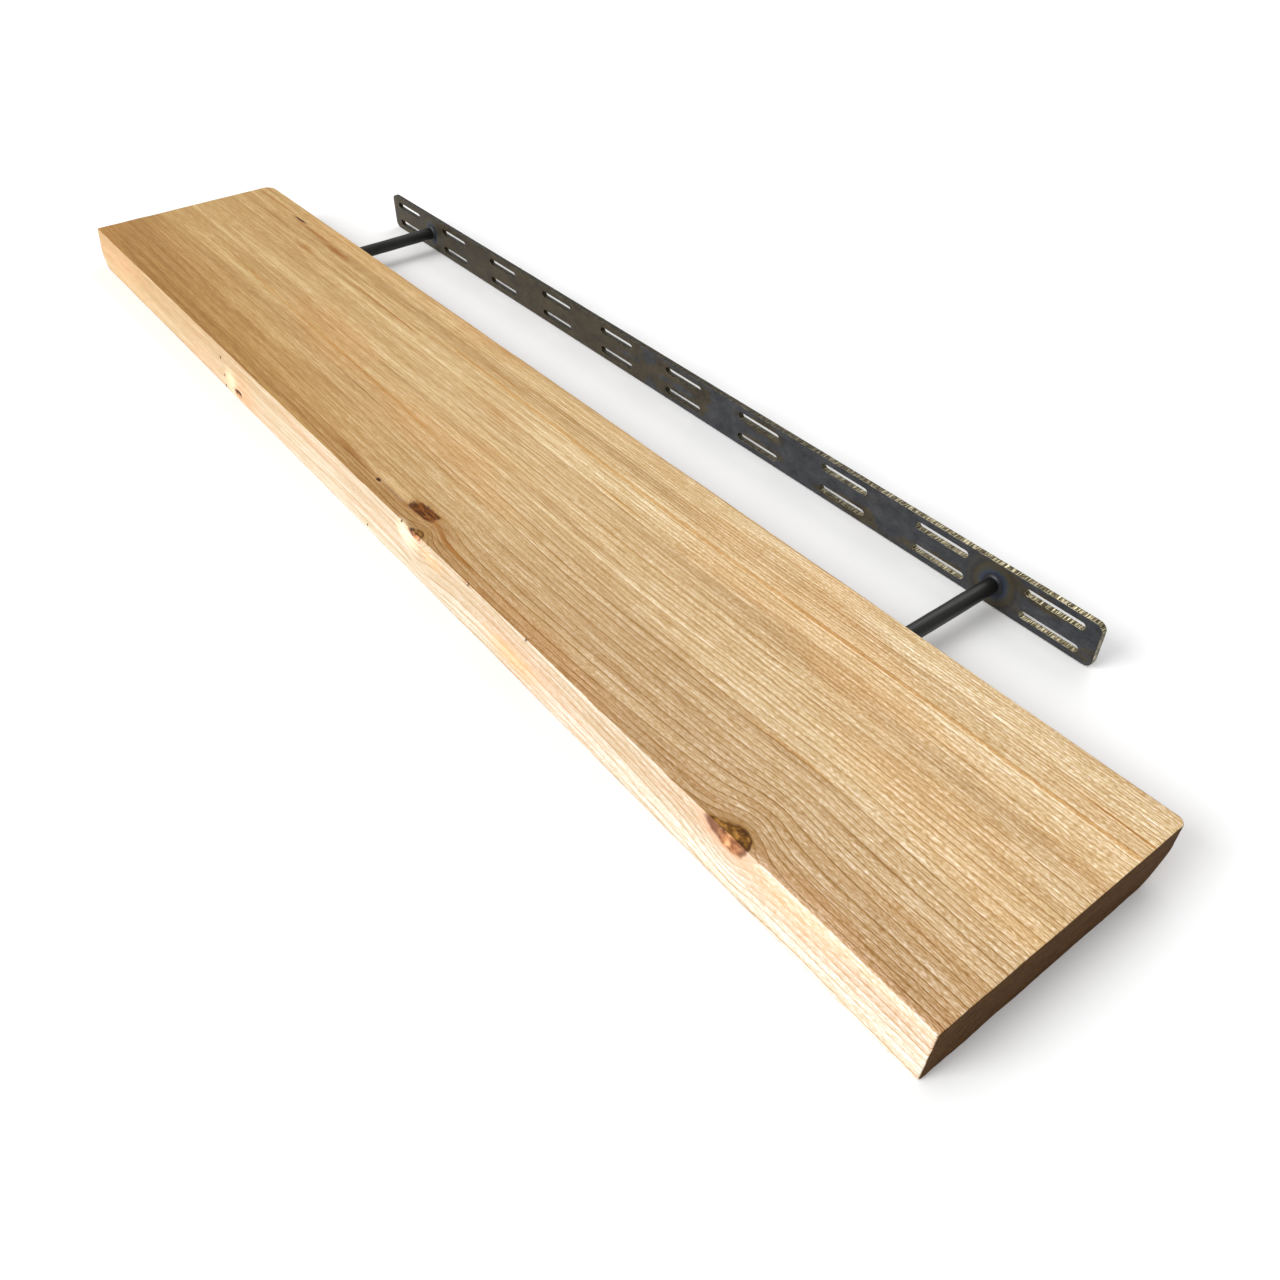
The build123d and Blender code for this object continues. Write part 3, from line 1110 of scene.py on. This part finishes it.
# Suns: name, azimuth and elevation in degrees, strength, and width in degrees
suns = (
    ("key", -18, 34, 2.4, 36),
    ("soft", -18, 34, 1.0, 100),
    ("sheen", 203, 42, 0.8, 40),
)
camera_place = (0.7458, -0.5885, 0.5147)
camera_azimuth = 52.568
camera_elevation = 42.256
camera_roll = -0.429
camera_lens = 31.257          # millimetres, on a 36 mm wide sensor


def make_floor():
    half, z = floor_half, board_low.z
    corners = ((-half, -half, z), (half, -half, z), (half, half, z), (-half, half, z))
    floor = mesh_object("floor", corners, [(0, 1, 2, 3)])
    g = Graph("white_floor")
    g.set(Base_Color=(0.80, 0.80, 0.80, 1.0), Roughness=0.9, Specular_IOR_Level=0.0)
    floor.data.materials.append(g.material)


def direction(azimuth, elevation):
    """The unit vector towards a place in the sky. Azimuth 0 is in front (-Y) and 90 to the right (+X)."""
    a, e = math.radians(azimuth), math.radians(elevation)
    return Vector((math.sin(a) * math.cos(e), -math.cos(a) * math.cos(e), math.sin(e)))


def add_sun(name, azimuth, elevation, strength, width):
    light = bpy.data.lights.new(name, "SUN")
    light.energy = strength
    light.angle = math.radians(width)
    lamp = in_scene(name, light)
    lamp.rotation_mode = "QUATERNION"
    lamp.rotation_quaternion = direction(azimuth, elevation).to_track_quat("Z", "Y")


def make_world(strength):
    world = bpy.data.worlds.new("studio")
    world.use_nodes = True
    background = world.node_tree.nodes["Background"]
    background.inputs["Color"].default_value = (1.0, 1.0, 1.0, 1.0)
    background.inputs["Strength"].default_value = strength
    bpy.context.scene.world = world


def make_camera():
    """The view from above the front right corner, looking down towards the back left."""
    data = bpy.data.cameras.new("camera")
    data.sensor_width = 36.0
    data.lens = camera_lens
    data.clip_start = 0.01
    data.clip_end = 100.0
    camera = in_scene("camera", data)
    camera.location = camera_place
    look = -direction(camera_azimuth, camera_elevation)
    turn = look.to_track_quat("-Z", "Y") @ Quaternion((0.0, 0.0, 1.0), math.radians(camera_roll))
    camera.rotation_mode = "QUATERNION"
    camera.rotation_quaternion = turn
    bpy.context.scene.camera = camera


make_floor()
make_world(world_strength)
for sun in suns:
    add_sun(*sun)
make_camera()
bpy.context.scene.view_settings.view_transform = "Standard"
